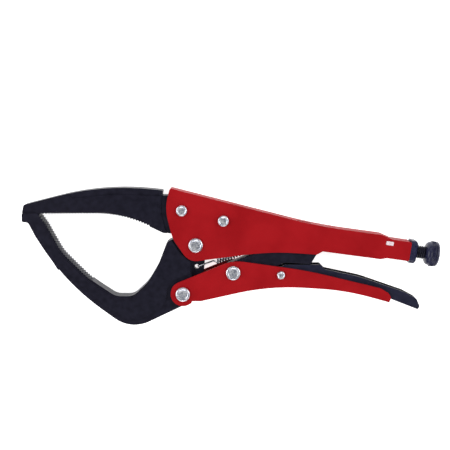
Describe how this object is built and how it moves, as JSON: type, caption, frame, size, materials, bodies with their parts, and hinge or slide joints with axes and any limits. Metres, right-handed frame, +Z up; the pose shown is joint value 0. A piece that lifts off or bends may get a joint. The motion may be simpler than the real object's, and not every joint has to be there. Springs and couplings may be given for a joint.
{
  "type": "locking c clamp",
  "caption": "Locking C clamp with deep serrated jaws, two sheet-steel handles, toggle link, release lever and a knurled adjusting screw.",
  "frame": {"origin": "on the axis of the main pivot rivet, on the flat underside of its lower head, which is on the plane the clamp lies on", "axes": "+X from the jaws towards the adjusting knob along the clamp's length, +Y towards the upper handle, +Z up through the clamp's thickness, along every pivot axis"},
  "size_m": [0.3016, 0.1, 0.0196],
  "materials": {
    "red_powder_coat": "semi-gloss powder coat",
    "black_forged_steel": "black oxide, satin",
    "rivet_steel": "bright zinc plate",
    "nut_steel": "zinc plate",
    "black_screw_steel": "black oxide",
    "spring_steel": "drawn wire"
  },
  "bodies": {
    "frame": {"upper_handle": "red_powder_coat", "fixed_jaw": "black_forged_steel", "fixed_rivet_front": "rivet_steel", "fixed_rivet_rear": "rivet_steel", "main_pivot_rivet": "rivet_steel", "screw_nut": "nut_steel", "end_collar": "black_screw_steel", "return_spring": "spring_steel"},
    "jaw": {"movable_jaw": "black_forged_steel"},
    "handle": {"lower_handle": "red_powder_coat", "handle_pivot_rivet": "rivet_steel", "link_rivet": "rivet_steel", "lever_rivet": "rivet_steel"},
    "link": {"toggle_link": "black_forged_steel"},
    "lever": {"release_lever": "black_forged_steel"},
    "screw": {"adjusting_screw": "black_screw_steel"},
    "knob": {"screw_knob": "black_screw_steel"}
  },
  "joints": [
    {"name": "jaw_open", "type": "hinge", "parent": "frame", "child": "jaw", "pos_m": [0, 0, 0.0098], "axis": [0, 0, 1], "range_deg": [0, 15], "deforming": ["return_spring"]},
    {"name": "handle_open", "type": "hinge", "parent": "jaw", "child": "handle", "pos_m": [-0.0094, -0.0357, 0.0098], "axis": [0, 0, -1], "range_deg": [0, 45]},
    {"name": "link_swing", "type": "hinge", "parent": "handle", "child": "link", "pos_m": [0.027, -0.0201, 0.0098], "axis": [0, 0, 1], "range_deg": [0, 52.5]},
    {"name": "lever_squeeze", "type": "hinge", "parent": "handle", "child": "lever", "pos_m": [0.0615, -0.0216, 0.0098], "axis": [0, 0, 1], "range_deg": [0, 9]},
    {"name": "screw_out", "type": "slide", "parent": "frame", "child": "screw", "axis": [0.9898, -0.1426, 0], "range_m": [0, 0.03]},
    {"name": "knob_turn", "type": "hinge", "parent": "screw", "child": "knob", "pos_m": [0.1721, -0.0073, 0.0098], "axis": [0.9898, -0.1426, 0], "range_deg": [0, 7200]}
  ],
  "couplings": [
    {"joint": "jaw_open", "follows": "handle_open", "ratio": 0.3331},
    {"joint": "link_swing", "follows": "handle_open", "ratio": 1.1654},
    {"joint": "lever_squeeze", "follows": "handle_open", "ratio": 0.2},
    {"joint": "knob_turn", "follows": "screw_out", "rad_per_m": 4188.8}
  ]
}
